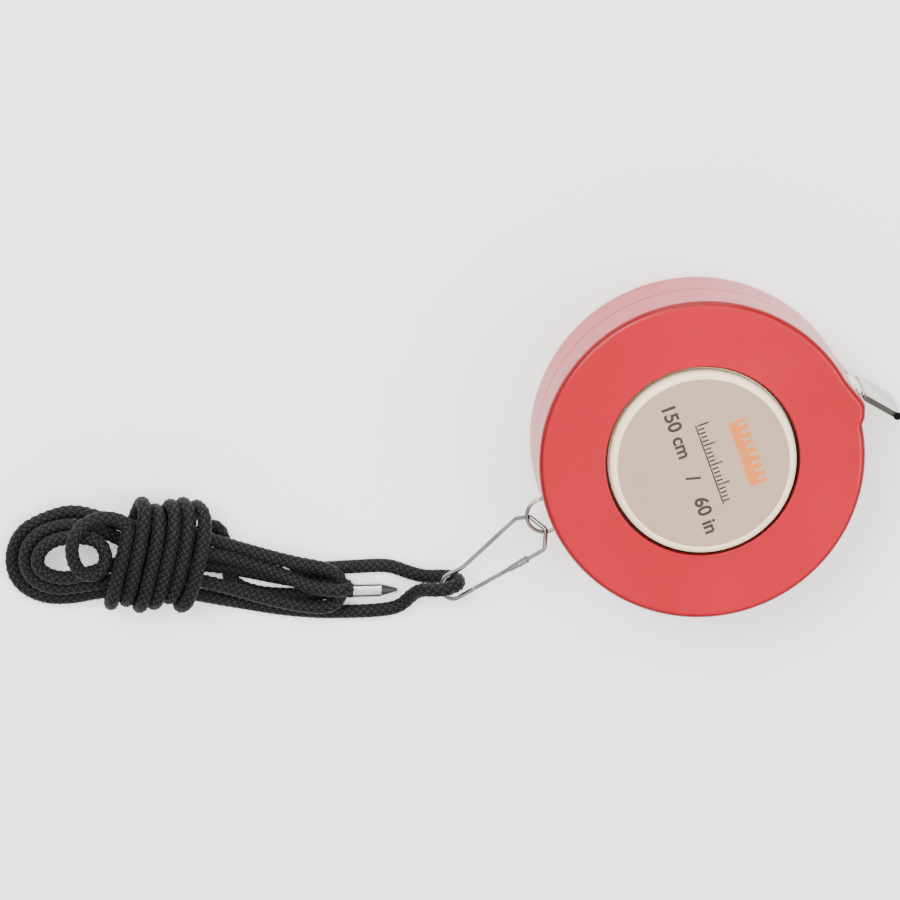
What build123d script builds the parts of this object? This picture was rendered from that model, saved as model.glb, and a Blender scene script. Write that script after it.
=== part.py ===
from build123d import *
from math import acos, cos, degrees, pi, radians, sin, sqrt, tan
import os

# Round push-button tape measure on a cord lanyard.
# Frame: the casing lies on its rear face. The origin is the centre of that face, +Z is the
# casing's axis, up through the button, and the tape leaves towards +X. Millimetres.

os.makedirs("parts", exist_ok=True)

# Button and brake
button_radius = 14.3
button_gap = 0.5           # round the button in its hole
hole_round = 0.3
button_proud = 1.1         # above the front face
button_round = 0.9
button_top = 1.6           # thickness of its plate
button_travel = 1.0
button_flange = 1.5        # how far its flange runs under the face
button_flange_thickness = 0.6
button_flange_gap = 0.2    # under the face
skirt_inset = 2.0          # from the button's rim to its skirt
skirt_wall = 1.0
label_margin = 1.1
label_thickness = 0.2
label_gap = 0.03
brake_thickness = 0.7
brake_width = 1.0
pad_thickness = 0.4
brake_gap = 0.1
brake_side_gap = 0.3
return_wire = 0.5
return_radius = 3.2
return_turns = 5
seat_gap = 0.02            # at each end of the return spring

# Tape
tape_length = 1500.0
tape_width = 8.0
tape_thickness = 0.4
exit_angle = 59.0          # direction of the exit line's normal, from +X
exit_gap = 0.4             # from the wound coil to the middle of the leaving tape
strip_start = 3.5          # where the leaving tape is clear of the coil
slot_height = 0.7
slot_side_gap = 0.8

# End tab
tab_length = 6.4
tab_side = 2.3             # how far the tab stands past each edge of the tape
tab_leaf = 0.25            # sheet that is folded over the tape
tab_lip = 1.25             # diameter of the rolled lip
tab_nest = 0.3             # how deep it sits in the nose
tab_gap = 0.3              # round the tab in its rebate

# Drum, axle and mainspring
hub_wall = 1.0
hub_gap = 0.02             # under the wound tape
flange_margin = 2.3        # past the wound tape
flange_thickness = 0.7
flange_gap = 0.15          # beside the tape
web_thickness = 0.8
web_gap = 0.8              # under the brake when the button is down
sleeve_wall = 1.4
sleeve_length = 2.6
axle_radius = 2.2
axle_foot_radius = 5.0
axle_foot_height = 1.2
axle_foot_wall = 0.65
axle_chamfer = 0.3
arbor_radius = 3.0         # thicker foot, which carries the spring
running_gap = 0.06
washer_thickness = 0.3
clip_radius = 4.4
clip_thickness = 0.5
clip_slot = 2.64
spring_band = 0.25
spring_width = 3.8
spring_turns = 11
spring_clear = 0.3         # inside the innermost and outside the outermost turn

# Casing
case_wall = 1.4
case_edge = 1.0            # rounding of the outer edges
drum_side_room = 1.2       # between the drum's flanges and the wall
drum_end_room = 2.0        # between the drum's flanges and the faces
seam_chamfer = 0.15        # fine V line between the two halves
lip_height = 1.0           # tongue of the front half inside the rear half
lip_thickness = 0.6
lip_gap = 0.05
nose_start = 4.9           # degrees round the rim, from where the tape crosses it
nose_corner = -6.3
nose_chin = -10.4
nose_foot = -12.6
nose_round = 0.8           # of the nose's upper corner
nose_proud = -0.1          # from the rim's furthest X to the nose's end face

# Notch, post and jump ring
notch_angle = 203.6
ring_radius = 2.65
ring_wire = 0.6
ring_slit = 0.12           # where the jump ring's ends meet
post_radius = 0.7
post_cover = 0.26          # from the post to the rim
post_gap = 0.05
notch_room = 1.0           # over and under the ring
notch_side_gap = 0.95
notch_depth_gap = 0.45     # behind the ring, which swings
boss_wall = 0.65
boss_half_height = 2.65
post_length = 4.3

# Snap hook, in its own plane: the first number is along the hook, from the eye
hook_wire = 0.7
hook_corner = 0.8
eye_radius = 1.9
eye_centre = (1.4, -0.9)
hook_shoulder = (4.4, 0.95)
hook_far_end = [(15.8, 3.5), (18.0, 2.8), (19.5, -0.2)]
hook_heel = 17.8           # where the lower arm turns up to the far end
gate_pivot = 4.8
gate_end = 12.75
gate_gap = 0.12
gate_swell = 0.15          # of the gate's flattened end
gate_swell_length = 1.5
catch_gap = 0.15
catch_length = 1.6
catch_wall = 0.25
hook_reach = Vector(-15.1, -12.34, -5.35)   # from the ring's centre to the eye
hook_along = Vector(0.781, 0.540, 0.316)
hook_normal = Vector(-0.466, 0.166, 0.869)

# Lanyard. Its points are given for a hook whose eye stands at hook_made_at, and move with it.
hook_made_at = Vector(-38.596, -22.605, 0)
cord_diameter = 2.2
hank_face = -53.9          # X of the hank's end, where the cord comes out
ferrule_diameter = 2.1
ferrule_length = 4.6
tip_length = 2.4
ferrule_edge = 0.15
tip_end_diameter = 0.5
tail_length = 1.4
tail_y = -23.6
hank_rounding = 0.25       # of its height

bend_share = 0.45          # of the shorter run beside a corner, for its arc

# From one side of the hank, through the eye of the hook and back to the other side.
cord_route = [
    (-53.9, -19.8, 1.15),
    (-50.7, -19.8, 1.15),
    (-47.3, -20.1, 1.15),
    (-44.2, -21.3, 1.15),
    (-41.0, -21.7, 1.15),
    (-38.0, -21.6, 1.15),
    (-36.2, -21.7, 2.35),
    (-36.2, -22.0, 4.6),
    (-37.9, -22.3, 6.0),
    (-40.0, -22.6, 5.6),
    (-42.3, -23.2, 3.6),
    (-44.8, -24.7, 1.9),
    (-47.7, -26.3, 1.25),
    (-50.8, -26.8, 1.15),
    (-53.9, -26.8, 1.15),
]

# The hank's outline: X of the section, its middle in Y, its width and its height.
hank_sections = [
    (-53.9, -23.2, 9.6, 4.8),
    (-61.0, -21.9, 10.4, 5.2),
    (-69.0, -20.0, 12.0, 5.8),
    (-77.0, -18.0, 14.4, 8.0),
    (-83.0, -16.6, 17.6, 8.8),
    (-90.0, -16.2, 14.0, 7.4),
    (-96.0, -16.0, 14.8, 6.4),
    (-101.5, -17.6, 13.4, 5.4),
    (-105.8, -19.4, 8.0, 4.6),
]

# Radii that follow, from the button outwards
skirt_radius = button_radius - skirt_inset
label_radius = button_radius - label_margin
brake_radius = skirt_radius + brake_width
brake_hole = skirt_radius + brake_side_gap
hub_inner = brake_radius + brake_side_gap
hub_radius = hub_inner + hub_wall
coil_radius = sqrt(hub_radius**2 + tape_length * tape_thickness / pi)
flange_radius = coil_radius + flange_margin
inner_radius = flange_radius + drum_side_room
case_radius = inner_radius + case_wall
sleeve_radius = axle_radius + running_gap + sleeve_wall

# Levels that follow, from the rear face up
case_thickness = tape_width + 2 * (flange_gap + flange_thickness + drum_end_room + case_wall)
seam = case_thickness / 2
front_inside = case_thickness - case_wall
tape_low = seam - tape_width / 2
tape_high = seam + tape_width / 2
rear_flange_top = tape_low - flange_gap
front_flange_bottom = tape_high + flange_gap
brake_top = front_flange_bottom - brake_gap - pad_thickness
brake_bottom = brake_top - brake_thickness
web_bottom = brake_bottom - button_travel - web_gap - web_thickness
sleeve_top = web_bottom + sleeve_length
arbor_top = web_bottom - running_gap - washer_thickness
spring_bottom = arbor_top - washer_thickness - spring_width
clip_bottom = sleeve_top + running_gap
axle_top = clip_bottom + 2 * clip_thickness
button_face = case_thickness + button_proud
button_under = button_face - button_top
button_flange_bottom = front_inside - button_flange_gap - button_flange_thickness

# Where the tape leaves
tab_thickness = tape_thickness + 2 * tab_leaf
exit_distance = coil_radius + exit_gap
across = Vector(cos(radians(exit_angle)), sin(radians(exit_angle)), 0)
along = Vector(sin(radians(exit_angle)), -cos(radians(exit_angle)), 0)
exit_plane = Plane(origin=across * exit_distance + Vector(0, 0, seam), x_dir=along, z_dir=(0, 0, 1))
rim_exit = exit_angle - degrees(acos(exit_distance / case_radius))
nose_reach = case_radius + nose_proud
nose_top = nose_reach * tan(radians(rim_exit + nose_corner))
nose_bottom = nose_reach * tan(radians(rim_exit + nose_chin))
tab_start = along.dot(Vector(nose_reach, nose_top, 0)) - tab_nest

# Where the ring and the hook hang
outward = Vector(cos(radians(notch_angle)), sin(radians(notch_angle)), 0)
notch_plane = Plane(origin=(0, 0, seam), x_dir=outward, z_dir=(0, 0, 1))
post_distance = case_radius - post_cover - post_radius
ring_distance = post_distance + ring_radius - ring_wire / 2 - post_gap - post_radius
notch_back = ring_distance - ring_radius - ring_wire / 2 - notch_depth_gap
notch_half_width = ring_radius + ring_wire / 2 + notch_side_gap
notch_height = ring_wire + 2 * notch_room
boss_back = notch_back - boss_wall
ring_centre = outward * ring_distance + Vector(0, 0, seam)
hook_plane = Plane(origin=ring_centre + hook_reach, x_dir=hook_along, z_dir=hook_normal)
lanyard_place = Vector(hook_plane.origin.X, hook_plane.origin.Y, 0) - hook_made_at
lower_arm = eye_centre[1] - eye_radius
catch_start = gate_end + catch_gap


def rim_point(angle, radius=case_radius):
    """A point on the round rim, at an angle from +X."""
    return (radius * cos(radians(angle)), radius * sin(radians(angle)))


def cut_openings():
    """The tape's slot and the tab's rebate in the nose, in the part that is open."""
    with Locations(exit_plane):
        with Locations((coil_radius / 2, 0, 0)):
            Box(
                coil_radius,
                slot_height,
                tape_width + 2 * slot_side_gap,
                align=(Align.MIN, Align.CENTER, Align.CENTER),
                mode=Mode.SUBTRACT,
            )
        with Locations((tab_start - tab_gap, -tab_thickness / 2 - tab_gap, 0)):
            Box(
                2 * tab_length,
                case_radius,
                tape_width + 2 * (tab_side + tab_gap),
                align=(Align.MIN, Align.MIN, Align.CENTER),
                mode=Mode.SUBTRACT,
            )


def add_notch(bottom, top):
    """The boss behind the ring's notch, the notch and the post's hole, between two levels."""
    middle = (bottom + top) / 2 - seam
    with Locations(notch_plane):
        with Locations((boss_back, 0, middle)):
            Box(
                inner_radius - boss_back + case_wall / 2,
                2 * (notch_half_width + boss_wall),
                top - bottom,
                align=(Align.MIN, Align.CENTER, Align.CENTER),
            )
        with Locations((notch_back, 0, 0)):
            Box(
                case_radius,
                2 * notch_half_width,
                notch_height,
                align=(Align.MIN, Align.CENTER, Align.CENTER),
                mode=Mode.SUBTRACT,
            )
        with Locations((post_distance, 0, 0)):
            Cylinder(post_radius, post_length, mode=Mode.SUBTRACT)


# The round rim with the tape's nose.
with BuildSketch() as case_outline:
    Circle(case_radius)
    with BuildLine():
        Polyline(
            rim_point(rim_exit + nose_start, inner_radius),
            rim_point(rim_exit + nose_start),
            (nose_reach - nose_round / 2, nose_top + nose_round),
            (nose_reach, nose_top),
            (nose_reach, nose_bottom),
            rim_point(rim_exit + nose_foot),
            rim_point(rim_exit + nose_foot, inner_radius),
            close=True,
        )
    make_face()

# Rear shell: floor, wall, bosses for the axle and the ring, and the nose's lower half.
with BuildPart() as rear_shell:
    with BuildSketch():
        add(case_outline.sketch)
    extrude(amount=seam)
    fillet(rear_shell.faces().sort_by(Axis.Z)[0].outer_wire().edges(), case_edge)
    seam_edges = rear_shell.faces().sort_by(Axis.Z)[-1].outer_wire().edges()
    chamfer(seam_edges, seam_chamfer)
    with BuildSketch(Plane.XY.offset(case_wall)):
        Circle(inner_radius)
    extrude(amount=seam, mode=Mode.SUBTRACT)
    with BuildSketch(Plane.XY.offset(seam - lip_height - lip_gap)):
        Circle(inner_radius + lip_thickness + lip_gap)
    extrude(amount=seam, mode=Mode.SUBTRACT)
    with BuildSketch(Plane.XY.offset(case_wall)):
        Circle(axle_foot_radius + axle_foot_wall)
        Circle(axle_foot_radius, mode=Mode.SUBTRACT)
    extrude(amount=axle_foot_height)
    add_notch(seam - boss_half_height, seam)
    cut_openings()
rear_shell.part.label = "rear_shell"
export_step(rear_shell.part, "parts/rear_shell.step")

# Front shell: face with the button's hole, wall and the tongue that centres the halves.
with BuildPart() as front_shell:
    with BuildSketch(Plane.XY.offset(seam)):
        add(case_outline.sketch)
    extrude(amount=case_thickness - seam)
    fillet(front_shell.faces().sort_by(Axis.Z)[-1].outer_wire().edges(), case_edge)
    seam_edges = front_shell.faces().sort_by(Axis.Z)[0].outer_wire().edges()
    chamfer(seam_edges, seam_chamfer)
    with BuildSketch(Plane.XY.offset(seam)):
        Circle(inner_radius)
    extrude(amount=front_inside - seam, mode=Mode.SUBTRACT)
    with BuildSketch(Plane.XY.offset(seam - lip_height)):
        Circle(inner_radius + lip_thickness)
        Circle(inner_radius, mode=Mode.SUBTRACT)
    extrude(amount=lip_height)
    with BuildSketch(Plane.XY.offset(front_inside)):
        Circle(button_radius + button_gap)
    extrude(amount=case_thickness, mode=Mode.SUBTRACT)
    hole_edges = front_shell.edges().filter_by(GeomType.CIRCLE)
    hole_edges = hole_edges.filter_by(lambda edge: abs(edge.radius - button_radius - button_gap) < 0.01)
    fillet(hole_edges.sort_by(Axis.Z)[-1], hole_round)
    add_notch(seam, seam + boss_half_height)
    cut_openings()
    with Locations(notch_plane):
        with Locations((boss_back, 0, -lip_height)):
            Box(
                case_radius,
                2 * (notch_half_width + boss_wall + lip_gap),
                2 * lip_height,
                align=(Align.MIN, Align.CENTER, Align.CENTER),
                mode=Mode.SUBTRACT,
            )
front_shell.part.label = "front_shell"
export_step(front_shell.part, "parts/front_shell.step")

# Button: a hollow cap with a recess for its label, a flange under the face and a skirt.
with BuildPart() as button:
    with BuildSketch(Plane.XY.offset(button_flange_bottom)):
        Circle(button_radius)
    extrude(amount=button_face - button_flange_bottom)
    fillet(button.edges().sort_by(Axis.Z)[-1], button_round)
    with BuildSketch(Plane.XY.offset(button_flange_bottom)):
        Circle(button_radius + button_flange)
    extrude(amount=button_flange_thickness)
    with BuildSketch(Plane.XY.offset(brake_bottom)):
        Circle(skirt_radius)
    extrude(amount=button_flange_bottom - brake_bottom)
    with BuildSketch(Plane.XY.offset(brake_bottom)):
        Circle(skirt_radius - skirt_wall)
    extrude(amount=button_under - brake_bottom, mode=Mode.SUBTRACT)
    with BuildSketch(Plane.XY.offset(button_face - label_thickness)):
        Circle(label_radius)
    extrude(amount=label_thickness, mode=Mode.SUBTRACT)
button.part.label = "button"
export_step(button.part, "parts/button.step")

# Label: a thin disc that fills the recess.
with BuildPart() as button_label:
    with BuildSketch(Plane.XY.offset(button_face - label_thickness)):
        Circle(label_radius - label_gap)
    extrude(amount=label_thickness - label_gap)
button_label.part.label = "button_label"
export_step(button_label.part, "parts/button_label.step")

# Brake ring, clipped on the skirt, and the felt that bears on the drum's flange from below.
with BuildPart() as brake_ring:
    with BuildSketch(Plane.XY.offset(brake_bottom)):
        Circle(brake_radius)
        Circle(skirt_radius, mode=Mode.SUBTRACT)
    extrude(amount=brake_thickness)
brake_ring.part.label = "brake_ring"
export_step(brake_ring.part, "parts/brake_ring.step")

with BuildPart() as brake_pad:
    with BuildSketch(Plane.XY.offset(brake_top)):
        Circle(brake_radius)
        Circle(brake_hole, mode=Mode.SUBTRACT)
    extrude(amount=pad_thickness)
brake_pad.part.label = "brake_pad"
export_step(brake_pad.part, "parts/brake_pad.step")

# Return spring: a wire coil between the axle's clip and the button.
spring_low = clip_bottom + clip_thickness + return_wire / 2 + seat_gap
spring_high = button_under - return_wire / 2 - seat_gap
with BuildPart() as return_spring:
    with BuildLine() as coil_line:
        Helix(
            pitch=(spring_high - spring_low) / return_turns,
            height=spring_high - spring_low,
            radius=return_radius,
            center=(0, 0, spring_low),
        )
    with BuildSketch(Plane(origin=coil_line.line @ 0, z_dir=coil_line.line % 0)):
        Circle(return_wire / 2)
    sweep()
return_spring.part.label = "return_spring"
export_step(return_spring.part, "parts/return_spring.step")

# Axle: foot in the rear shell, arbor with a slot for the spring, and the drum's journal.
with BuildPart() as axle:
    with BuildSketch(Plane.XY.offset(case_wall)):
        Circle(axle_foot_radius)
    extrude(amount=axle_foot_height)
    with BuildSketch(Plane.XY.offset(case_wall)):
        Circle(arbor_radius)
    extrude(amount=arbor_top - case_wall)
    with BuildSketch(Plane.XY.offset(arbor_top)):
        Circle(axle_radius)
    extrude(amount=axle_top - arbor_top)
    chamfer(axle.edges().sort_by(Axis.Z)[-1], axle_chamfer)
    with Locations((arbor_radius / 2, 0, arbor_top)):
        Box(
            arbor_radius,
            2 * spring_band,
            spring_width + 2 * washer_thickness,
            align=(Align.CENTER, Align.CENTER, Align.MAX),
            mode=Mode.SUBTRACT,
        )
axle.part.label = "axle"
export_step(axle.part, "parts/axle.step")

with BuildPart() as thrust_washer:
    with BuildSketch(Plane.XY.offset(arbor_top)):
        Circle(sleeve_radius)
        Circle(axle_radius + running_gap, mode=Mode.SUBTRACT)
    extrude(amount=washer_thickness)
thrust_washer.part.label = "thrust_washer"
export_step(thrust_washer.part, "parts/thrust_washer.step")

with BuildPart() as axle_clip:
    with BuildSketch(Plane.XY.offset(clip_bottom)):
        Circle(clip_radius)
        Circle(axle_radius, mode=Mode.SUBTRACT)
        with Locations((-clip_radius, 0)):
            Rectangle(2 * clip_radius - axle_radius, clip_slot, mode=Mode.SUBTRACT)
    extrude(amount=clip_thickness)
axle_clip.part.label = "axle_clip"
export_step(axle_clip.part, "parts/axle_clip.step")

# Drum: hub, web with the bearing sleeve, and two flanges. The upper one reaches inwards
# over the brake.
with BuildPart() as spool:
    with BuildSketch(Plane.XY.offset(rear_flange_top - flange_thickness)):
        Circle(flange_radius)
        Circle(hub_inner, mode=Mode.SUBTRACT)
    extrude(amount=flange_thickness)
    with BuildSketch(Plane.XY.offset(rear_flange_top)):
        Circle(hub_radius - hub_gap)
        Circle(hub_inner, mode=Mode.SUBTRACT)
    extrude(amount=front_flange_bottom - rear_flange_top)
    with BuildSketch(Plane.XY.offset(front_flange_bottom)):
        Circle(flange_radius)
        Circle(brake_hole, mode=Mode.SUBTRACT)
    extrude(amount=flange_thickness)
    with BuildSketch(Plane.XY.offset(web_bottom)):
        Circle(hub_inner)
    extrude(amount=web_thickness)
    with BuildSketch(Plane.XY.offset(web_bottom)):
        Circle(sleeve_radius)
    extrude(amount=sleeve_length)
    with BuildSketch(Plane.XY.offset(web_bottom)):
        Circle(axle_radius + running_gap)
    extrude(amount=sleeve_length, mode=Mode.SUBTRACT)
spool.part.label = "spool"
export_step(spool.part, "parts/spool.step")

with BuildPart() as tape_coil:
    with BuildSketch(Plane.XY.offset(tape_low)):
        Circle(coil_radius)
        Circle(hub_radius, mode=Mode.SUBTRACT)
    extrude(amount=tape_width)
tape_coil.part.label = "tape_coil"
export_step(tape_coil.part, "parts/tape_coil.step")

# Mainspring: a flat spiral of half circles about two centres, from the arbor to the hub.
spring_pitch = (hub_inner - arbor_radius - 2 * spring_clear) / spring_turns
with BuildPart() as mainspring:
    with BuildSketch(Plane.XY.offset(spring_bottom)):
        with BuildLine() as spiral:
            inner = arbor_radius + spring_clear
            for half_turn in range(2 * spring_turns):
                upper = half_turn % 2 == 0
                centre = (0, 0) if upper else (spring_pitch / 2, 0)
                start = 0 if upper else 180
                CenterArc(centre, inner + half_turn * spring_pitch / 2, start, 180)
        trace(line_width=spring_band)
    extrude(amount=spring_width)
mainspring.part.label = "mainspring"
export_step(mainspring.part, "parts/mainspring.step")

# Tape between the coil and the tab.
with BuildPart() as tape_strip:
    with Locations(exit_plane):
        with Locations((strip_start, 0, 0)):
            Box(
                tab_start + tab_length - tab_lip - strip_start,
                tape_thickness,
                tape_width,
                align=(Align.MIN, Align.CENTER, Align.CENTER),
            )
tape_strip.part.label = "tape_strip"
export_step(tape_strip.part, "parts/tape_strip.step")

# Tab: one sheet folded over the tape's end, with a rolled lip.
with BuildPart() as end_tab:
    with BuildSketch(exit_plane):
        with Locations((tab_start, 0)):
            Rectangle(tab_length - tab_lip / 2, tab_thickness, align=(Align.MIN, Align.CENTER))
        with Locations((tab_start + tab_length - tab_lip / 2, 0)):
            Circle(tab_lip / 2)
    extrude(amount=tape_width / 2 + tab_side, both=True)
    with Locations(exit_plane):
        with Locations((tab_start, 0, 0)):
            Box(
                tab_length - tab_lip,
                tape_thickness,
                tape_width,
                align=(Align.MIN, Align.CENTER, Align.CENTER),
                mode=Mode.SUBTRACT,
            )
end_tab.part.label = "end_tab"
export_step(end_tab.part, "parts/end_tab.step")

# Post across the notch, and the jump ring round it.
with BuildPart() as lanyard_post:
    with Locations(notch_plane):
        with Locations((post_distance, 0, 0)):
            Cylinder(post_radius, post_length)
lanyard_post.part.label = "lanyard_post"
export_step(lanyard_post.part, "parts/lanyard_post.step")

with BuildPart() as key_ring:
    with Locations(notch_plane):
        with Locations((ring_distance, 0, 0)):
            Torus(ring_radius, ring_wire / 2)
        with Locations((ring_distance, -ring_radius, 0)):
            Box(ring_slit, 2 * ring_wire, 2 * ring_wire, mode=Mode.SUBTRACT)
key_ring.part.label = "key_ring"
export_step(key_ring.part, "parts/key_ring.step")

# Hook frame: one bent wire from the catch, round the far end and the eye, to the gate.
with BuildPart() as hook_frame:
    with BuildLine(hook_plane) as hook_line:
        FilletPolyline(
            (catch_start, lower_arm),
            (hook_heel, lower_arm),
            *reversed(hook_far_end),
            hook_shoulder,
            (eye_centre[0], eye_centre[1] + eye_radius),
            radius=hook_corner,
        )
        ThreePointArc(
            (eye_centre[0], eye_centre[1] + eye_radius),
            (eye_centre[0] - eye_radius, eye_centre[1]),
            (eye_centre[0], lower_arm),
        )
        Line((eye_centre[0], lower_arm), (gate_pivot - hook_wire / 2 - gate_gap, lower_arm))
    hook_path = hook_line.wires()[0]
    with BuildSketch(Plane(origin=hook_path @ 0, z_dir=hook_path % 0)):
        Circle(hook_wire / 2)
    sweep(path=hook_path)
hook_frame.part.label = "hook_frame"
export_step(hook_frame.part, "parts/hook_frame.step")

# Springing arm: round end at its pivot and a flattened end behind the catch.
with BuildPart() as hook_gate:
    with Locations(hook_plane):
        with Locations((gate_pivot, lower_arm, 0)):
            Sphere(hook_wire / 2)
        with Locations(Location((gate_pivot, lower_arm, 0), (0, 90, 0))):
            Cylinder(hook_wire / 2, gate_end - gate_pivot, align=(Align.CENTER, Align.CENTER, Align.MIN))
        with Locations(Location((gate_end - gate_swell_length, lower_arm, 0), (0, 90, 0))):
            Cylinder(
                hook_wire / 2 + gate_swell,
                gate_swell_length,
                align=(Align.CENTER, Align.CENTER, Align.MIN),
            )
hook_gate.part.label = "hook_gate"
export_step(hook_gate.part, "parts/hook_gate.step")

with BuildPart() as hook_catch:
    with Locations(hook_plane):
        with Locations(Location((catch_start, lower_arm, 0), (0, 90, 0))):
            Cylinder(
                hook_wire / 2 + catch_wall,
                catch_length,
                align=(Align.CENTER, Align.CENTER, Align.MIN),
            )
            Cylinder(
                hook_wire / 2,
                catch_length,
                align=(Align.CENTER, Align.CENTER, Align.MIN),
                mode=Mode.SUBTRACT,
            )
hook_catch.part.label = "hook_catch"
export_step(hook_catch.part, "parts/hook_catch.step")

# Lanyard cord between the two sides of the hank, through the hook's eye.
route = [Vector(*point) + lanyard_place for point in cord_route]
cord_radii = []
for before, corner, after in zip(route, route[1:], route[2:]):
    turn = (corner - before).get_angle(after - corner)
    shorter = min((corner - before).length, (after - corner).length)
    cord_radii.append(bend_share * shorter / tan(radians(turn / 2)))
print("cord radii:", [round(radius, 1) for radius in cord_radii])

with BuildPart() as lanyard_cord:
    with BuildLine() as cord_line:
        FilletPolyline(*route, radius=cord_radii)
    cord_path = cord_line.wires()[0]
    with BuildSketch(Plane(origin=cord_path @ 0, z_dir=cord_path % 0)):
        Circle(cord_diameter / 2)
    sweep(path=cord_path)
lanyard_cord.part.label = "lanyard_cord"
export_step(lanyard_cord.part, "parts/lanyard_cord.step")
cord_area = pi * cord_diameter**2 / 4
print("cord volume over section times length:",
      round(lanyard_cord.part.volume / (cord_area * cord_path.length), 4))

# The folded and wound rest of the cord, as one closed shape.
with BuildPart() as lanyard_hank:
    for x, y, width, height in hank_sections:
        middle = Vector(x, y, height / 2) + lanyard_place
        with BuildSketch(Plane(origin=middle, x_dir=(0, 1, 0), z_dir=(-1, 0, 0))):
            RectangleRounded(width, height, hank_rounding * height)
    loft(ruled=True)
lanyard_hank.part.label = "lanyard_hank"
export_step(lanyard_hank.part, "parts/lanyard_hank.step")

# Last stretch of the cord, its ferrule and the pointed tip.
tail_start = Vector(hank_face, tail_y, cord_diameter / 2) + lanyard_place
tail_plane = Plane(origin=tail_start, z_dir=(1, 0, 0))
with BuildPart() as lanyard_tail:
    with BuildSketch(tail_plane):
        Circle(cord_diameter / 2)
    extrude(amount=tail_length)
lanyard_tail.part.label = "lanyard_tail"
export_step(lanyard_tail.part, "parts/lanyard_tail.step")

ferrule_plane = tail_plane.offset(tail_length)
with BuildPart() as cord_ferrule:
    with BuildSketch(ferrule_plane):
        Circle(ferrule_diameter / 2)
    extrude(amount=ferrule_length)
    chamfer(cord_ferrule.edges().filter_by(GeomType.CIRCLE), ferrule_edge)
cord_ferrule.part.label = "cord_ferrule"
export_step(cord_ferrule.part, "parts/cord_ferrule.step")

with BuildPart() as cord_tip:
    with BuildSketch(ferrule_plane.offset(ferrule_length)):
        Circle(ferrule_diameter / 2 - ferrule_edge)
    with BuildSketch(ferrule_plane.offset(ferrule_length + tip_length)):
        Circle(tip_end_diameter / 2)
    loft()
cord_tip.part.label = "cord_tip"
export_step(cord_tip.part, "parts/cord_tip.step")
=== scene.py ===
from math import cos, pi, radians, sin

import bpy
import numpy as np
from mathutils import Matrix, Vector


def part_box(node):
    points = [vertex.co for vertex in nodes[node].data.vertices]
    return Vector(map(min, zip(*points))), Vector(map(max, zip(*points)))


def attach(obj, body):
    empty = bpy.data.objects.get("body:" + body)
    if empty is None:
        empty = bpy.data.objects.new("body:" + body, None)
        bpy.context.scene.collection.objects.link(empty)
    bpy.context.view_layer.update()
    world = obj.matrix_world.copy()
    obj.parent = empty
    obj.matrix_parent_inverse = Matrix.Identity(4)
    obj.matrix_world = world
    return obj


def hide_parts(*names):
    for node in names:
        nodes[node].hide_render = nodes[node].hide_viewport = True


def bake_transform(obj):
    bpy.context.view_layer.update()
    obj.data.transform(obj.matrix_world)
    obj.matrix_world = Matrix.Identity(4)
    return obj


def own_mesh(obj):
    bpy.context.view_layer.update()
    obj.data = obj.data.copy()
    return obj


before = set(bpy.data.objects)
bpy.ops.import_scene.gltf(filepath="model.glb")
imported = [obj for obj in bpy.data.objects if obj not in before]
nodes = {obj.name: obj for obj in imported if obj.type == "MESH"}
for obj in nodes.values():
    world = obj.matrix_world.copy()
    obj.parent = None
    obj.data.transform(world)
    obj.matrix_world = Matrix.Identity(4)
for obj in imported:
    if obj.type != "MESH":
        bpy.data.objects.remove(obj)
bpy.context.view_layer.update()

mm = 0.001
bpy.ops.object.select_all(action="DESELECT")

# Table: a sheet of matt white card, the soft boxes round it and the camera above it.
# The card is slightly uneven, with the faint fibres of its paper.


class Socket:
    """One output in a material's node tree. Arithmetic on it adds Math nodes."""

    def __init__(self, tree, output=None):
        self.tree = tree
        self.output = output

    def feed(self, made, name, value):
        """Links a socket of a node to a Socket, or sets it to a value."""
        if isinstance(value, Socket):
            self.tree.links.new(value.output, made.inputs[name])
        else:
            made.inputs[name].default_value = value

    def node(self, kind, settings=None, inputs=None, output=0):
        """Adds a node: first its settings, then what its sockets hold or are linked to."""
        made = self.tree.nodes.new("ShaderNode" + kind)
        for name, value in (settings or {}).items():
            if name == "stops":
                ramp = made.color_ramp
                while len(ramp.elements) < len(value):
                    ramp.elements.new(1)
                for element, (place, colour) in zip(ramp.elements, value):
                    element.position = place
                    element.color = (*colour, 1)
            else:
                setattr(made, name, value)
        for name, value in (inputs or {}).items():
            self.feed(made, name, value)
        return Socket(self.tree, made.outputs[output])

    def other(self, output):
        """Another output of the same node."""
        return Socket(self.tree, self.output.node.outputs[output])

    def math(self, operation, *values):
        return self.node("Math", {"operation": operation}, dict(enumerate(values)))

    def __add__(self, other):
        return self.math("ADD", self, other)

    __radd__ = __add__

    def __mul__(self, other):
        return self.math("MULTIPLY", self, other)

    __rmul__ = __mul__

    def __sub__(self, other):
        return self.math("SUBTRACT", self, other)

    def __rsub__(self, other):
        return self.math("SUBTRACT", other, self)

    def __truediv__(self, other):
        return self.math("DIVIDE", self, other)

    def __lt__(self, other):
        return self.math("LESS_THAN", self, other)

    def __gt__(self, other):
        return self.math("GREATER_THAN", self, other)


def new_material(name, **constants):
    """A material, its shader node, and a Socket that adds nodes to its tree."""
    material = bpy.data.materials.new(name)
    material.use_nodes = True
    shader = material.node_tree.nodes["Principled BSDF"]
    for socket, value in constants.items():
        shader.inputs[socket.replace("_", " ")].default_value = value
    return material, shader, Socket(material.node_tree)


def noise(tree, place, per_metre, detail=3.0, stretch=None):
    """Uneven values from 0 to 1 with so many lumps to the metre."""
    if stretch:
        place = tree.node("Mapping", {}, {"Vector": place, "Scale": stretch})
    return tree.node("TexNoise", {}, {"Vector": place, "Scale": per_metre, "Detail": detail})


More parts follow.
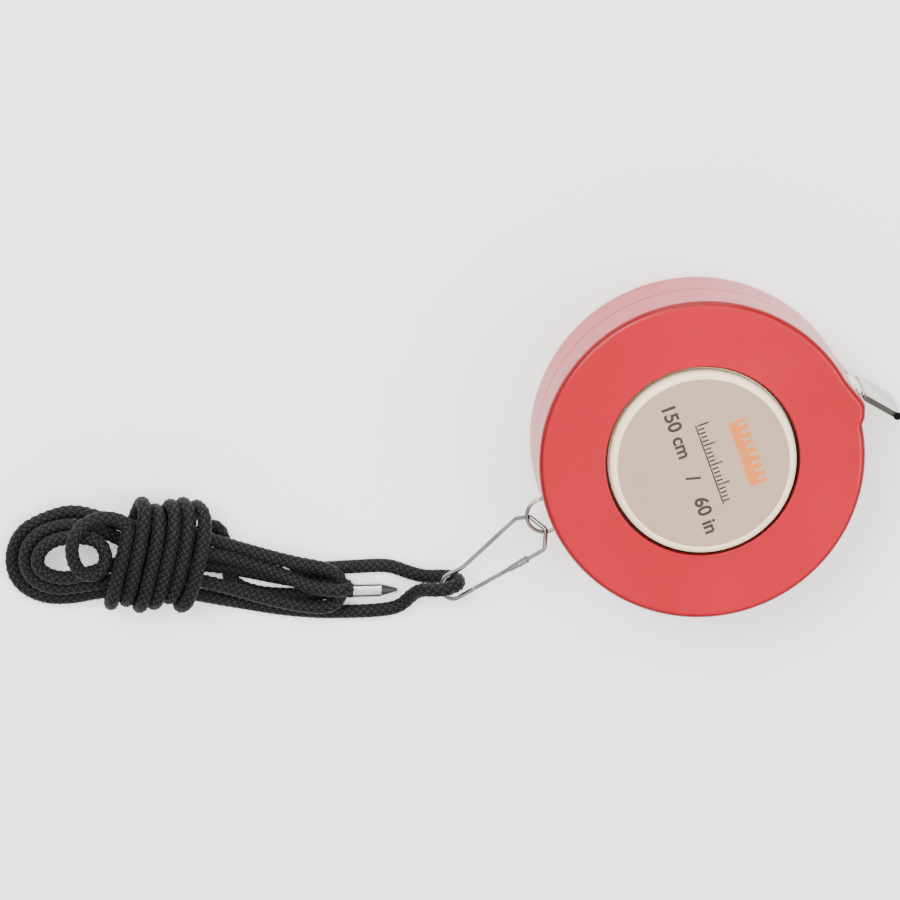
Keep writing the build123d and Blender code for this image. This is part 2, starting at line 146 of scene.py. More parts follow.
def mixed(tree, factor, first, second):
    """Colour that goes from the first to the second with the factor."""
    return tree.node("Mix", {"data_type": "RGBA"}, {0: factor, 6: first, 7: second}, 2)


def ranged(tree, value, low, high, to_low, to_high):
    """A value moved from one range to another and held inside it."""
    return tree.node("MapRange", {}, {
        "Value": value, "From Min": low, "From Max": high, "To Min": to_low, "To Max": to_high})


def bumped(tree, shader, height, depth, strength=1.0):
    """Turns a height from 0 to 1 into the shader's normal, so many metres deep."""
    tree.feed(shader, "Normal", tree.node(
        "Bump", {}, {"Height": height, "Distance": depth, "Strength": strength}))


def dress(piece, material):
    """Gives a piece its material and the slot that it takes its finish from."""
    piece.data.materials.clear()
    piece.data.materials.append(material)


def white_card():
    material, shader, tree = new_material("white card", Emission_Strength=0.45)
    place = tree.node("TexCoord", output="Object")
    fibres = noise(tree, place, 900.0, 4.0)
    cloud = noise(tree, place, 6.0, 2.0)
    tree.feed(shader, "Base Color", mixed(
        tree, cloud * 0.6 + fibres * 0.4, (0.93, 0.93, 0.93, 1), (0.97, 0.97, 0.97, 1)))
    tree.feed(shader, "Roughness", 0.85 + fibres * 0.1)
    bumped(tree, shader, fibres, 0.00003, 0.4)
    return material


bpy.ops.mesh.primitive_plane_add(size=6.0, location=(0, 0, 0))
card = bpy.context.object
card.name = "table_card"
card.data.materials.append(white_card())

world = bpy.context.scene.world or bpy.data.worlds.new("studio")
bpy.context.scene.world = world
world.use_nodes = True
surround = Socket(world.node_tree)
surround_height = surround.node("SeparateXYZ", {}, {
    0: surround.node("TexCoord", output="Generated")}, "Z")
background = world.node_tree.nodes["Background"]
surround.feed(background, "Color", surround.node("ValToRGB", {"stops": [
    (0.0, (0.9, 0.9, 0.9)), (0.01, (0.05, 0.05, 0.05)), (0.34, (0.10, 0.10, 0.10)),
    (0.52, (1.0, 1.0, 1.0))]}, {0: surround_height}))
background.inputs["Strength"].default_value = 1.75

soft_boxes = [
    ("upper left box", (-0.55, 0.60, 1.10), 0.7, 21.0),
    ("right box", (0.75, -0.10, 0.95), 0.7, 8.0),
    ("back box", (0.05, 1.30, 0.45), 0.9, 12.0),
]
for name, place, size, watts in soft_boxes:
    bpy.ops.object.light_add(type="AREA", location=place)
    box = bpy.context.object
    box.name = name
    box.data.size = size
    box.data.energy = watts
    box.rotation_euler = (-Vector(place)).to_track_quat("-Z", "Y").to_euler()

camera_right = Vector((0.9963, 0.0, 0.086))
camera_back = Vector((-0.083, 0.264, 0.961)).normalized()
camera_right = (camera_right - camera_back * camera_right.dot(camera_back)).normalized()
camera_up = camera_back.cross(camera_right)
camera_distance = 1.5
camera_aside, camera_raised = -0.03709, -0.002615     # of the view's middle
bpy.ops.object.camera_add()
camera = bpy.context.object
camera.data.sensor_width = 36.0
camera.data.lens = 390.0
turn = Matrix((camera_right, camera_up, camera_back)).transposed().to_4x4()
turn.translation = (
    camera_right * camera_aside + camera_up * camera_raised
    + camera_back * camera_distance)
camera.matrix_world = turn
bpy.context.scene.camera = camera

# Lanyard: one length of black polyester braid, twelve strands round a soft core.
# It is doubled through the hook's eye, folded into a hank, and its last turns are
# wound round the middle of the hank.

stub = [(-62.0, -20.2, 1.15), (-58.5, -20.0, 1.15)]
through_the_eye = [
    (-53.9, -19.8, 1.15), (-50.7, -19.7, 1.15), (-46.8, -19.6, 1.15), (-43.7, -20.9, 1.15),
    (-41.0, -21.7, 1.15), (-38.0, -21.6, 1.15), (-36.2, -21.7, 2.35), (-36.2, -22.0, 4.6),
    (-37.9, -22.3, 6.0), (-40.0, -22.6, 5.6), (-42.0, -22.9, 3.8), (-43.3, -24.2, 2.1),
    (-45.2, -26.4, 1.25), (-49.0, -26.9, 1.15), (-53.9, -26.9, 1.15),
]
first_lap = [
    (-58.5, -26.8, 1.15), (-64.0, -26.1, 1.15), (-69.0, -25.1, 1.2), (-73.5, -23.9, 2.4),
    (-78.0, -22.6, 3.4), (-83.0, -21.8, 3.5), (-88.0, -21.9, 3.3), (-92.0, -22.6, 2.2),
    (-96.0, -23.6, 1.3), (-100.4, -23.4, 1.15), (-104.1, -20.9, 1.15), (-105.0, -16.8, 1.15),
    (-103.4, -12.8, 1.5), (-100.0, -10.7, 2.2), (-95.6, -9.3, 2.6), (-91.6, -10.2, 3.4),
    (-86.5, -11.8, 4.4), (-81.5, -11.6, 5.0), (-76.5, -13.2, 4.6), (-71.5, -15.2, 3.6),
    (-66.0, -17.0, 3.4), (-61.5, -18.3, 3.4), (-57.2, -19.2, 3.4), (-54.7, -20.3, 3.4),
    (-54.2, -22.8, 3.4), (-54.9, -25.0, 3.4), (-57.8, -25.7, 3.4),
]
second_lap = [
    (-64.0, -24.4, 3.4), (-69.5, -22.6, 3.7), (-74.5, -20.8, 4.6), (-79.5, -19.4, 5.6),
    (-84.5, -19.0, 5.7), (-89.5, -20.0, 4.6), (-94.0, -21.2, 3.4), (-98.8, -21.6, 3.2),
    (-102.3, -19.6, 3.2), (-103.0, -15.6, 3.3), (-100.8, -12.3, 3.9), (-96.2, -10.9, 4.6),
    (-91.0, -12.0, 5.0), (-87.0, -14.5, 3.6), (-82.0, -17.2, 3.3), (-77.5, -18.3, 2.9),
    (-73.0, -19.0, 1.7), (-68.0, -20.2, 1.2), (-63.0, -21.4, 1.15), (-58.6, -22.1, 1.15),
    (-55.2, -22.2, 1.2), (-53.4, -22.3, 2.5), (-53.3, -22.4, 4.6), (-55.2, -22.3, 5.8),
    (-59.4, -21.9, 4.7),
]
third_lap = [
    (-64.0, -19.7, 3.7), (-69.0, -17.7, 4.0), (-74.0, -16.1, 4.8), (-79.0, -15.4, 5.6),
    (-84.0, -15.6, 5.7), (-89.0, -17.3, 4.9), (-93.4, -18.9, 4.8), (-97.4, -19.6, 5.0),
    (-100.9, -18.1, 5.0), (-101.0, -15.4, 5.2), (-98.9, -13.1, 5.8), (-95.2, -12.4, 6.6),
    (-91.6, -12.9, 7.0), (-90.3, -15.9, 6.9), (-91.9, -18.6, 7.1), (-94.6, -18.1, 7.4),
    (-95.9, -15.4, 8.0), (-95.8, -12.2, 8.6), (-93.8, -9.8, 8.0), (-90.4, -9.0, 7.7),
]

wrap_turns = 6
wrap_points = 14
wrap_first_x, wrap_last_x = -88.8, -76.2
wrap_half_width, wrap_half_height = 7.7, 3.4
wrap_middle = (-16.1, 4.55)
wrap_lean = 2.0
wrap_bulge = 1.7              # of the last turn's upper side, towards the hook
wrap_squareness = 0.75        # 1 for an oval turn, less for a boxy one
wrap_unevenness = 0.05        # of one turn's width against the next
wrap_wander = 0.5             # of the turns' middle from side to side
wrap_skipped = 2              # points at the first turn's start and the last turn's end
wraps = []
for step in range(wrap_skipped, wrap_turns * wrap_points - wrap_skipped):
    turned = step / wrap_points
    angle = 2 * pi * turned
    loose = 1 + wrap_unevenness * sin(2.3 * turned + 0.7)
    sideways = (wrap_half_width * loose * np.sign(cos(angle))
                * abs(cos(angle)) ** wrap_squareness)
    upwards = (wrap_half_height * np.sign(sin(angle))
               * abs(sin(angle)) ** wrap_squareness)
    wraps.append((
        wrap_first_x + (wrap_last_x - wrap_first_x) * turned / wrap_turns
        + wrap_lean * sideways / wrap_half_width
        + wrap_bulge * turned / wrap_turns * max(0, upwards) / wrap_half_height,
        wrap_middle[0] + sideways + wrap_wander * sin(1.9 * turned),
        wrap_middle[1] + upwards))
tail = [
    (-75.0, -12.8, 1.2), (-73.1, -12.8, 1.15), (-72.1, -14.9, 1.15), (-72.0, -18.8, 1.15),
    (-70.9, -22.0, 1.15), (-67.4, -23.5, 1.15),
    (-63.0, -24.0, 1.15), (-58.5, -24.1, 1.15), (-55.0, -23.6, 1.1), (-52.4, -23.6, 1.1),
]
cord_points = stub + through_the_eye + first_lap + second_lap + third_lap + wraps + tail

line = bpy.data.curves.new("lanyard line", "CURVE")
line.dimensions = "3D"
line.resolution_u = 10
spline = line.splines.new("NURBS")
spline.points.add(len(cord_points) - 1)
for point, place in zip(spline.points, cord_points):
    point.co = (*(mm * value for value in place), 1)
spline.order_u = 3
spline.use_endpoint_u = True
line_object = bpy.data.objects.new("lanyard line", line)
bpy.context.scene.collection.objects.link(line_object)
bpy.context.view_layer.update()
line_mesh = bpy.data.meshes.new_from_object(line_object)
smooth_line = np.array([vertex.co for vertex in line_mesh.vertices])
bpy.data.objects.remove(line_object)
bpy.data.meshes.remove(line_mesh)

braid_step = 0.30 * mm
braid_sides = 24
strands_each_way = 6
braid_lay = 7.0 * mm          # of one strand's turn round the cord
braid_core = 0.88 * mm
braid_relief = 0.26 * mm


def spaced_evenly(points, step):
    """Points at equal distances along a line, with the distance of each from its start."""
    runs = np.linalg.norm(np.diff(points, axis=0), axis=1)
    keep = np.concatenate([[True], runs > 1e-9])
    points, runs = points[keep], runs[runs > 1e-9]
    travelled = np.concatenate([[0], np.cumsum(runs)])
    wanted = np.linspace(0, travelled[-1], int(travelled[-1] / step) + 1)
    return np.stack([np.interp(wanted, travelled, points[:, i]) for i in range(3)], 1), wanted


def braided_tube(name, points, travelled):
    """A closed tube round a line, with the relief of strands that pass over and under."""
    ahead = np.gradient(points, axis=0)
    ahead /= np.linalg.norm(ahead, axis=1)[:, None]
    side = np.cross(ahead[0], (0, 0, 1.0))
    side /= np.linalg.norm(side)
    rings = []
    around = 2 * pi * np.arange(braid_sides) / braid_sides
    for place, forward, distance in zip(points, ahead, travelled):
        side = side - forward * side.dot(forward)
        side /= np.linalg.norm(side)
        up = np.cross(forward, side)
        left = strands_each_way * (around / (2 * pi) + distance / braid_lay)
        right = strands_each_way * (around / (2 * pi) - distance / braid_lay)
        left_on_top = (np.floor(left) + np.floor(right)) % 2 == 0
        across = np.where(left_on_top, left % 1, right % 1)
        over = np.where(left_on_top, right % 1, left % 1)
        height = np.sin(pi * across) ** 0.6 * (0.45 + 0.55 * np.sin(pi * over))
        radius = braid_core + braid_relief * height
        rings.append(place + np.outer(radius * np.cos(around), side)
                     + np.outer(radius * np.sin(around), up))
    vertices = np.concatenate(rings + [points[:1], points[-1:]])
    count = len(points)
    faces = []
    for ring in range(count - 1):
        for edge in range(braid_sides):
            after = (edge + 1) % braid_sides
            low, high = ring * braid_sides, (ring + 1) * braid_sides
            faces.append((low + edge, low + after, high + after, high + edge))
    first, last, last_ring = count * braid_sides, count * braid_sides + 1, (count - 1) * braid_sides
    for edge in range(braid_sides):
        after = (edge + 1) % braid_sides
        faces.append((first, after, edge))
        faces.append((last, last_ring + edge, last_ring + after))
    mesh = bpy.data.meshes.new(name)
    mesh.from_pydata([tuple(v) for v in vertices], [], faces)
    uv = mesh.uv_layers.new(name="braid")
    for face in mesh.polygons:
        corners = [mesh.loops[i].vertex_index for i in face.loop_indices]
        for loop, corner in zip(face.loop_indices, corners):
            ring, edge = divmod(min(corner, count * braid_sides - 1), braid_sides)
            wrapped = edge == 0 and any(c % braid_sides == braid_sides - 1 for c in corners)
            uv.data[loop].uv = (
                travelled[ring] / braid_lay, 1.0 if wrapped else edge / braid_sides)
    for face in mesh.polygons:
        face.use_smooth = True
    mesh.update()
    piece = bpy.data.objects.new(name, mesh)
    bpy.context.scene.collection.objects.link(piece)
    return piece


def braided_polyester():
    material, shader, tree = new_material(
        "black braided polyester", Specular_IOR_Level=0.14, Sheen_Weight=0.02)
    place = tree.node("TexCoord", output="UV")
    split = tree.node("SeparateXYZ", {}, {0: place})
    lays, around = split, split.other(1)
    left = strands_each_way * (around + lays)
    right = strands_each_way * (around - lays) + 100.0
    left_cell = tree.math("FLOOR", left + 100.0)
    right_cell = tree.math("FLOOR", right)
    right_on_top = tree.math("MODULO", left_cell + right_cell, 2.0)
    left_across = tree.math("FRACT", left + 100.0)
    right_across = tree.math("FRACT", right)
    across = left_across + right_on_top * (right_across - left_across)
    filament = tree.math("SINE", across * (2 * pi * 5)) * 0.5 + 0.5
    crown = tree.math("SINE", across * pi)
    body = noise(tree, tree.node("TexCoord", output="Object"), 2600.0, 2.0)
    # Painted light: the colour is lighter on each strand's crown (painted highlight) and darker in
    # the grooves between strands (painted shade), with filament lines and random fibre tone on top.
    crown_light_and_groove_shade = crown * crown * (0.3 + filament * 0.5 + body * 0.4)
    tree.feed(shader, "Base Color", tree.node("ValToRGB", {"stops": [
        (0.0, (0.0003, 0.0003, 0.0003)), (0.45, (0.0012, 0.0012, 0.0013)),
        (1.0, (0.030, 0.030, 0.031))]}, {0: crown_light_and_groove_shade}))
    tree.feed(shader, "Roughness", 0.62 - filament * 0.14 + body * 0.1)
    bumped(tree, shader, filament * 0.6 + body * 0.4, 0.00005, 0.7)
    return material


cord_line, cord_travel = spaced_evenly(smooth_line, braid_step)
cord = braided_tube("lanyard_braid", cord_line, cord_travel)
dress(cord, braided_polyester())
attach(cord, "lanyard")
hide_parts("lanyard_cord", "lanyard_hank", "lanyard_tail")

# Ferrule and tip: a zinc-plated tube crimped on the cord's end and a dark shrunk point.
# The same bright plating is on the ring, the post and the snap hook's wire.


def bright_wire(name, colour, roughness, scratch_along=(1, 1, 1)):
    """Plated steel wire or strip, with drawing lines, small stains and duller spots."""
    material, shader, tree = new_material(name)
    place = tree.node("TexCoord", output="Object")
    drawn = noise(tree, place, 2200.0, 4.0, scratch_along)
    stain = noise(tree, place, 260.0, 3.0)
    shadow = tuple(0.55 * value for value in colour)
    tree.feed(shader, "Base Color", mixed(
        tree, ranged(tree, stain, 0.35, 0.62, 0.0, 1.0), (*shadow, 1), (*colour, 1)))
    tree.feed(shader, "Metallic", 0.93 + stain * 0.07)
    tree.feed(shader, "Roughness", roughness + drawn * 0.16 + stain * 0.05)
    bumped(tree, shader, drawn * 0.7 + stain * 0.3, 0.00002, 0.6)
    return material


def shrunk_sleeve():
    material, shader, tree = new_material("shrunk black sleeve")
    place = tree.node("TexCoord", output="Object")
    fold = noise(tree, place, 1500.0, 3.0, (0.3, 1, 1))
    tree.feed(shader, "Base Color", mixed(
        tree, fold, (0.006, 0.006, 0.007, 1), (0.022, 0.022, 0.024, 1)))
    tree.feed(shader, "Roughness", 0.36 + fold * 0.25)
    bumped(tree, shader, fold, 0.00006, 0.7)
    return material


dress(nodes["cord_ferrule"], bright_wire("crimped zinc", (0.75, 0.75, 0.75), 0.16, (0.15, 1, 1)))
dress(nodes["cord_tip"], shrunk_sleeve())

# Casing: two moulded halves of glossy coral-red plastic, joined at the middle of the rim.
# The mould's polish leaves a faint waviness, and the edges and the faces have fine rubs.


def moulded_plastic(name, colour, deep, roughness, coat=0.0, side_coat=0.0, top=1.0):
    """Glossy moulded plastic: flow clouds, fine rubs, dust specks and a slight waviness.
    Below its top face the gloss may be higher."""
    material, shader, tree = new_material(name, IOR=1.3, Coat_Roughness=0.06)
    place = tree.node("TexCoord", output="Object")
    z = tree.node("SeparateXYZ", {}, {0: place}).other(2)
    flow = noise(tree, place, 45.0, 2.0)
    speck = noise(tree, place, 2400.0, 2.0)
    rubs = (noise(tree, place, 420.0, 5.0, (1, 0.12, 1))
            * noise(tree, place, 420.0, 5.0, (0.1, 1, 1)))
    tree.feed(shader, "Base Color", mixed(
        tree, ranged(tree, flow + speck * 0.12, 0.42, 0.72, 0.0, 1.0), (*deep, 1), (*colour, 1)))
    tree.feed(shader, "Roughness", roughness + rubs * 0.2 + speck * 0.03)
    below = ranged(tree, z, top - 1.3 * mm, top - 1.0 * mm, side_coat, 0.0)
    tree.feed(shader, "Coat Weight", below + coat + rubs * 0.1)
    bumped(tree, shader, flow * 0.9 + speck * 0.02 + rubs * 0.08, 0.0004, 0.35)
    return material


def shaded(material, where, shade):
    """Lays a colour over a material's own where a mask made from x, y and z is 1."""
    shader = material.node_tree.nodes["Principled BSDF"]
    tree = Socket(material.node_tree)
    under = Socket(tree.tree, shader.inputs["Base Color"].links[0].from_socket)
    split = tree.node("SeparateXYZ", {}, {0: tree.node("TexCoord", output="Object")})
    mask = where(tree, split, split.other(1), split.other(2))
    tree.feed(shader, "Base Color", mixed(tree, mask, under, (*shade, 1)))
    return material


hole_radius = 14.8 * mm
casing_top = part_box("front_shell")[1].z
blend_width = 0.1 * mm        # over which one tone turns into the next


# Painted shade: the wall of the button's hole is coloured a dark red, as if it lay in shadow.
def hole_wall_painted_shade(tree, x, y, z):
    from_axis = tree.math("SQRT", x * x + y * y)
    return ranged(
        tree, from_axis, hole_radius + 0.05 * mm, hole_radius + 0.05 * mm + blend_width, 1.0, 0.0)


# Painted reflection: the rounded outer edge of the front face is coloured a deeper red, standing in
# for the dark surroundings that it would mirror.
def outer_rounding_dark_reflection(tree, x, y, z):
    below_face = ranged(tree, z, casing_top - 0.16 * mm, casing_top - 0.04 * mm, 1.0, 0.0)
    return below_face * ranged(tree, z, casing_top - 0.95 * mm, casing_top - 0.7 * mm, 0.0, 1.0)


coral = ((0.42, 0.0003, 0.014), (0.385, 0.0001, 0.011), 0.26, 0.04, 0.2, casing_top)
front_half = shaded(
    moulded_plastic("coral red front half", *coral), outer_rounding_dark_reflection, (0.20, 0.0, 0.004))
dress(nodes["front_shell"], shaded(front_half, hole_wall_painted_shade, (0.10, 0.0, 0.002)))
dress(nodes["rear_shell"], moulded_plastic("coral red rear half", *coral))

# Push button: a cream cap that stands proud in the round hole, with a printed film label
# in its recess. The film carries a row of scale marks, an orange bar and the tape's length.


side_from = hole_radius - 0.42 * mm


# Painted shade: the cream button's side, down in the gap round it, is coloured a dark red-brown, as
# if it lay in shadow.
def button_side_painted_shade(tree, x, y, z):
    from_axis = tree.math("SQRT", x * x + y * y)
    return ranged(tree, from_axis, side_from, side_from + blend_width, 0.0, 1.0)


cream = moulded_plastic(
    "cream plastic", (0.99, 0.82, 0.56), (0.96, 0.77, 0.50), 0.28, coat=0.06)
dress(nodes["button"], shaded(cream, button_side_painted_shade, (0.05, 0.004, 0.004)))

print_turn = radians(-70.6)
label_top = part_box("button_label")[1].z


def printed_film():
    """Taupe satin film with a dark row of scale marks and an orange bar of marks."""
    material, shader, tree = new_material("printed taupe film")
    place = tree.node("TexCoord", output="Object")
    split = tree.node("SeparateXYZ", {}, {0: place})
    x, y = split, split.other(1)
    reading = (x * cos(print_turn) + y * sin(print_turn)) / mm
    rising = (y * cos(print_turn) - x * sin(print_turn)) / mm
    grain = noise(tree, place, 1800.0, 4.0)
    cloud = noise(tree, place, 120.0, 2.0)
    film = mixed(tree, grain * 0.5 + cloud * 0.5, (0.40, 0.27, 0.18, 1),
                 (0.445, 0.305, 0.21, 1))

    def marks(first, last, foot, spacing, width, short, tall):
        """Strokes in a row from a foot line, every fifth one taller."""
        inside = (reading > first) * (reading < last)
        beside = tree.math("FRACT", (reading - first) / spacing)
        stroke = beside < width / spacing
        fifth = tree.math("FRACT", (reading - first) / (5 * spacing)) < 0.2
        height = short + fifth * (tall - short)
        return inside * stroke * (rising > foot) * (rising < foot + height)

    dark = tree.math("MAXIMUM", marks(-6.0, 7.2, 0.9, 0.66, 0.28, 1.0, 1.9),
                     (reading > -6.0) * (reading < 7.2) * (rising > 0.62) * (rising < 0.86))
    bar = (reading > -4.6) * (reading < 6.0) * (rising > 5.5) * (rising < 8.3)
    notches = marks(-4.1, 5.8, 6.9, 1.3, 0.45, 1.5, 1.5)
    orange = bar * (1 - notches)
    worn = ranged(tree, noise(tree, place, 1400.0, 4.0), 0.30, 0.45, 0.55, 1.0)
    film = mixed(tree, orange * worn, film, (0.70, 0.17, 0.010, 1))
    film = mixed(tree, dark * worn, film, (0.012, 0.011, 0.010, 1))
    tree.feed(shader, "Base Color", film)
    tree.feed(shader, "Roughness", 0.46 + grain * 0.12 - orange * 0.1)
    bumped(tree, shader, grain * 0.5 + orange * 0.3 + dark * 0.3, 0.00002, 0.5)
    return material


dress(nodes["button_label"], printed_film())


def printing_ink():
    material, shader, tree = new_material("dark printing ink")
    place = tree.node("TexCoord", output="Object")
    patch = noise(tree, place, 3000.0, 3.0)
    tree.feed(shader, "Base Color", mixed(
        tree, patch, (0.006, 0.0055, 0.005, 1), (0.024, 0.022, 0.02, 1)))
    tree.feed(shader, "Roughness", 0.4 + patch * 0.15)
    bumped(tree, shader, patch, 0.00001, 0.4)
    return material


ink = printing_ink()
print_height, print_thickness, print_boldness = 3.0 * mm, 0.006 * mm, 0.09 * mm
words_foot = -3.3
for name, words, reading in (
        ("length_in_centimetres", "150 cm", -6.2), ("length_in_inches", "60 in", 7.9),
        ("length_divider", "/", 1.7)):
    bpy.ops.object.text_add(location=(0, 0, 0))
    print_piece = bpy.context.object
    print_piece.name = name
    print_piece.data.body = words
    print_piece.data.align_x = "CENTER"
    print_piece.data.size = print_height
    print_piece.data.extrude = print_thickness
    print_piece.data.offset = print_boldness
    print_piece.data.resolution_u = 6
    bpy.ops.object.convert(target="MESH")
    print_piece.location = (
        mm * (reading * cos(print_turn) - words_foot * sin(print_turn)),
        mm * (reading * sin(print_turn) + words_foot * cos(print_turn)),
        label_top + 0.008 * mm)
    print_piece.rotation_euler = (0, 0, print_turn)
    bpy.ops.object.transform_apply(location=True, rotation=True, scale=True)
    dress(print_piece, ink)
    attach(print_piece, "button")
    bpy.ops.object.select_all(action="DESELECT")

# Tape: glass-fibre cloth coated with off-white plastic and printed with a scale.
# Its last stretch runs from the coil through the mouth into the folded tab.

exit_turn = radians(59.0)
tape_along = Vector((sin(exit_turn), -cos(exit_turn), 0))
tape_across = Vector((cos(exit_turn), sin(exit_turn), 0))
tab_low, tab_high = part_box("end_tab")
strip_low, strip_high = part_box("tape_strip")
strip_corners = [vertex.co for vertex in nodes["tape_strip"].data.vertices]
strip_from = min(corner.dot(tape_along) for corner in strip_corners)
strip_to = max(corner.dot(tape_along) for corner in strip_corners)
strip_line = sum(corner.dot(tape_across) for corner in strip_corners) / len(strip_corners)
strip_middle = (strip_low.z + strip_high.z) / 2
strip_width = strip_high.z - strip_low.z


def coated_tape(name, edge_on=False):
    """Coated cloth with a weave, and on its face scale marks along the tape."""
    material, shader, tree = new_material(name, Coat_Roughness=0.2)
    place = tree.node("TexCoord", output="Object")
    split = tree.node("SeparateXYZ", {}, {0: place})
    x, y = split, split.other(1)
    z = split.other(2)
    grain = noise(tree, place, 2600.0, 3.0)
    if edge_on:
        from_axis = tree.math("SQRT", x * x + y * y)
        turn_edge = tree.math("SINE", from_axis * (2 * pi / (0.4 * mm))) * 0.5 + 0.5
        tree.feed(shader, "Base Color", mixed(
            tree, turn_edge * 0.8 + grain * 0.2, (0.40, 0.37, 0.28, 1), (0.88, 0.85, 0.74, 1)))
        bumped(tree, shader, turn_edge, 0.0001, 0.8)
    else:
        run = x * tape_along.x + y * tape_along.y
        weave = (tree.math("SINE", run * (2 * pi / (0.5 * mm)))
                 * tree.math("SINE", z * (2 * pi / (0.5 * mm)))) * 0.5 + 0.5
        face = mixed(tree, grain, (0.86, 0.83, 0.71, 1), (0.91, 0.88, 0.78, 1))
        beside = tree.math("FRACT", run / mm + 0.5)
        fifth = tree.math("FRACT", run / (5 * mm)) < 0.2
        edge_gap = (strip_high.z - z) / mm
        mark = (beside < 0.22) * (edge_gap < 1.4 + fifth * 1.2)
        tree.feed(shader, "Base Color", mixed(tree, mark, face, (0.03, 0.03, 0.03, 1)))
        bumped(tree, shader, weave * 0.8 + grain * 0.2, 0.00004, 0.6)
    tree.feed(shader, "Roughness", 0.42 + grain * 0.14)
    tree.feed(shader, "Coat Weight", 0.15 + grain * 0.1)
    return material


dress(nodes["tape_coil"], coated_tape("wound tape edges", edge_on=True))

bpy.ops.mesh.primitive_plane_add(size=1, location=(0, 0, 0))
strip = bpy.context.object
strip.name = "leaving_tape"
strip.scale = (strip_to - strip_from, strip_width, 1)
bpy.ops.object.transform_apply(location=False, rotation=False, scale=True)
bpy.ops.object.mode_set(mode="EDIT")
bpy.ops.mesh.select_all(action="SELECT")
bpy.ops.mesh.subdivide(number_cuts=60)
bpy.ops.object.mode_set(mode="OBJECT")
for vertex in strip.data.vertices:
    crown = 0.05 * mm * (1 - (2 * vertex.co.y / strip_width) ** 2)
    vertex.co.z += crown
thicken = strip.modifiers.new("thickness", "SOLIDIFY")
thicken.thickness = 0.34 * mm
thicken.offset = 0
bpy.ops.object.modifier_apply(modifier="thickness")
stand = Matrix((tape_along, (0, 0, 1), -tape_across)).transposed().to_4x4()
stand.translation = (
    tape_along * (strip_from + strip_to) / 2 + tape_across * strip_line
    + Vector((0, 0, strip_middle)))
strip.matrix_world = stand
bpy.ops.object.transform_apply(location=True, rotation=True, scale=True)
bpy.ops.object.select_all(action="DESELECT")
dress(strip, coated_tape("coated tape face"))
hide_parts("tape_strip")
tab_from = min(vertex.co.dot(tape_along) for vertex in nodes["end_tab"].data.vertices)
(tape_along * (strip_from + 0.5 * mm) + tape_across * strip_line
         + Vector((0, 0, strip_middle)))
(tape_along * (tab_from - 0.3 * mm) + tape_across * strip_line
         + Vector((0, 0, strip_middle)))
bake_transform(strip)

# End tab: one sheet of plated steel folded over the tape's end, with a rolled lip.
# Its faces are brushed along the fold and its cut edges are dark; at the lip, the curl's edges
# carry painted shade.


tab_end = max(vertex.co.dot(tape_along) for vertex in nodes["end_tab"].data.vertices)


cut_edge = 0.12 * mm
lip_curl = (1.5 * mm, 1.1 * mm)      # from the tab's end, where the curl's shade sets in


def cut_edges(tree, x, y, z):
    return tree.math("MAXIMUM", z > tab_high.z - cut_edge, z < tab_low.z + cut_edge)


# Painted shade: near the lip, the cut edges are coloured almost black, as if in the curl's shadow.
def curl_end_painted_shade(tree, x, y, z):
    run = x * tape_along.x + y * tape_along.y
    curl = ranged(tree, run, tab_end - lip_curl[0], tab_end - lip_curl[1], 0.0, 1.0)
    return curl * cut_edges(tree, x, y, z)


brushed = bright_wire("brushed tab", (0.66, 0.66, 0.65), 0.24, (1, 1, 0.08))
brushed = shaded(brushed, cut_edges, (0.07, 0.068, 0.06))
dress(nodes["end_tab"], shaded(brushed, curl_end_painted_shade, (0.005, 0.005, 0.005)))

# Jump ring, post and snap hook: bent from bright plated wire. The catch is a short tube
# crimped on the frame's lower arm, into which the springing arm closes.

dress(nodes["key_ring"], bright_wire("ring wire", (0.34, 0.30, 0.28), 0.13))
dress(nodes["lanyard_post"], bright_wire("post pin", (0.60, 0.59, 0.58), 0.25))
hook_wire = bright_wire("hook wire", (0.32, 0.32, 0.32), 0.12)
for piece in ("hook_frame", "hook_gate"):
    dress(nodes[piece], hook_wire)
dress(nodes["hook_catch"], bright_wire("catch tube", (0.40, 0.40, 0.39), 0.16))

# Inside: a white moulded drum and brake ring with a felt pad, the turned axle with its
# washer and clip, and two blued springs.

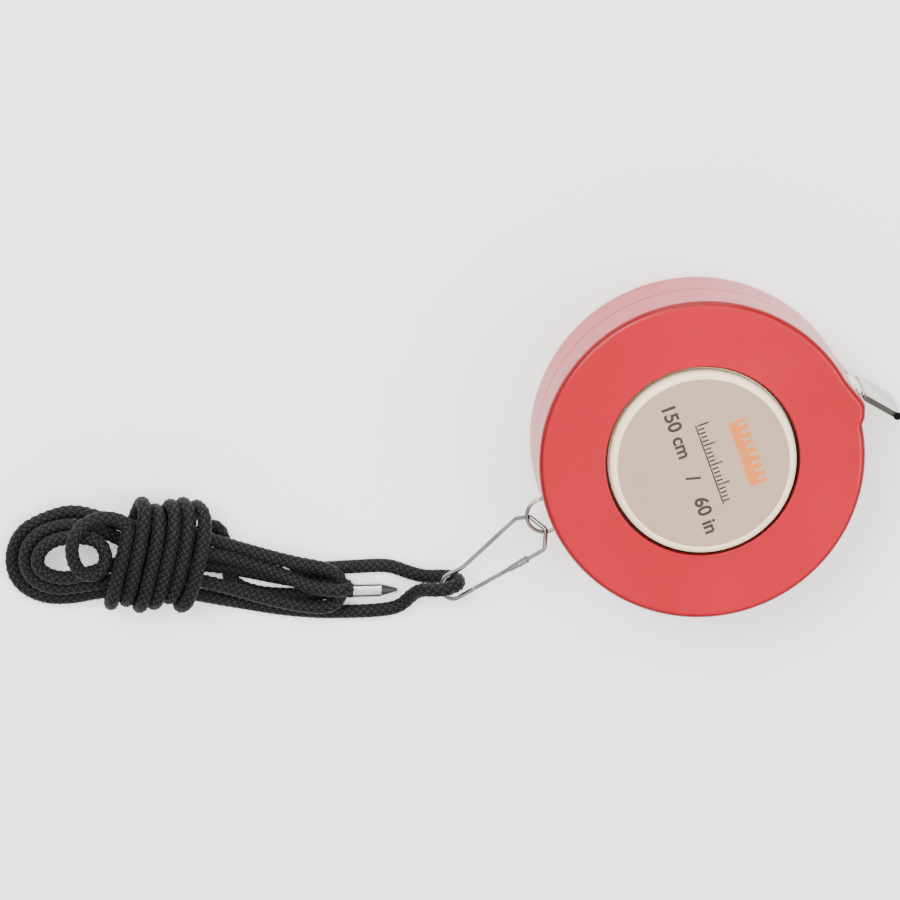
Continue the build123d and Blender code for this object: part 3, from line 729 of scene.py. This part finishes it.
natural = moulded_plastic(
    "natural white plastic", (0.80, 0.79, 0.75), (0.74, 0.73, 0.69), 0.4)
for piece in ("spool", "brake_ring", "thrust_washer"):
    dress(nodes[piece], natural)
for piece in ("axle", "axle_clip"):
    dress(nodes[piece], bright_wire(piece + " steel", (0.58, 0.57, 0.56), 0.22))
blued = ((0.20, 0.23, 0.31), 0.24)
dress(nodes["mainspring"], bright_wire("blued mainspring band", *blued))

coil_low, coil_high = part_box("return_spring")
wire_radius = 0.25 * mm
coil_turns = 5
coil_rise = coil_high.z - coil_low.z - 2 * wire_radius
bpy.ops.mesh.primitive_circle_add(vertices=14, radius=wire_radius, location=(0, 0, 0))
coil = bpy.context.object
coil.name = "wound_return_spring"
bpy.ops.object.mode_set(mode="EDIT")
bpy.ops.mesh.select_all(action="SELECT")
bpy.ops.transform.rotate(value=pi / 2, orient_axis="X", center_override=(0, 0, 0))
bpy.ops.transform.translate(value=(coil_high.x - wire_radius, 0, coil_low.z + wire_radius))
bpy.ops.object.mode_set(mode="OBJECT")
wind = coil.modifiers.new("wind", "SCREW")
wind.axis = "Z"
wind.iterations = coil_turns
wind.screw_offset = coil_rise / coil_turns
wind.steps = wind.render_steps = 40
bpy.ops.object.modifier_apply(modifier="wind")
bpy.ops.object.mode_set(mode="EDIT")
bpy.ops.mesh.select_all(action="SELECT")
bpy.ops.mesh.fill_holes(sides=0)
bpy.ops.mesh.select_all(action="SELECT")
bpy.ops.mesh.normals_make_consistent(inside=False)
bpy.ops.object.mode_set(mode="OBJECT")
bpy.ops.object.shade_smooth_by_angle(angle=radians(40))
bpy.ops.object.select_all(action="DESELECT")
dress(coil, bright_wire("blued coil wire", *blued))
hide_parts("return_spring")
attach(coil, "casing")
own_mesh(coil)


def wool_felt():
    material, shader, tree = new_material(
        "grey wool felt", Sheen_Weight=0.6, Sheen_Roughness=0.5)
    place = tree.node("TexCoord", output="Object")
    fibres = noise(tree, place, 4200.0, 6.0) * 0.6 + noise(tree, place, 900.0, 3.0) * 0.4
    tree.feed(shader, "Base Color", tree.node("ValToRGB", {"stops": [
        (0.3, (0.02, 0.02, 0.022)), (0.55, (0.06, 0.06, 0.063)), (0.75, (0.14, 0.14, 0.14))]},
        {0: fibres}))
    tree.feed(shader, "Roughness", 0.85 + fibres * 0.12)
    bumped(tree, shader, fibres, 0.0002, 0.9)
    return material


dress(nodes["brake_pad"], wool_felt())
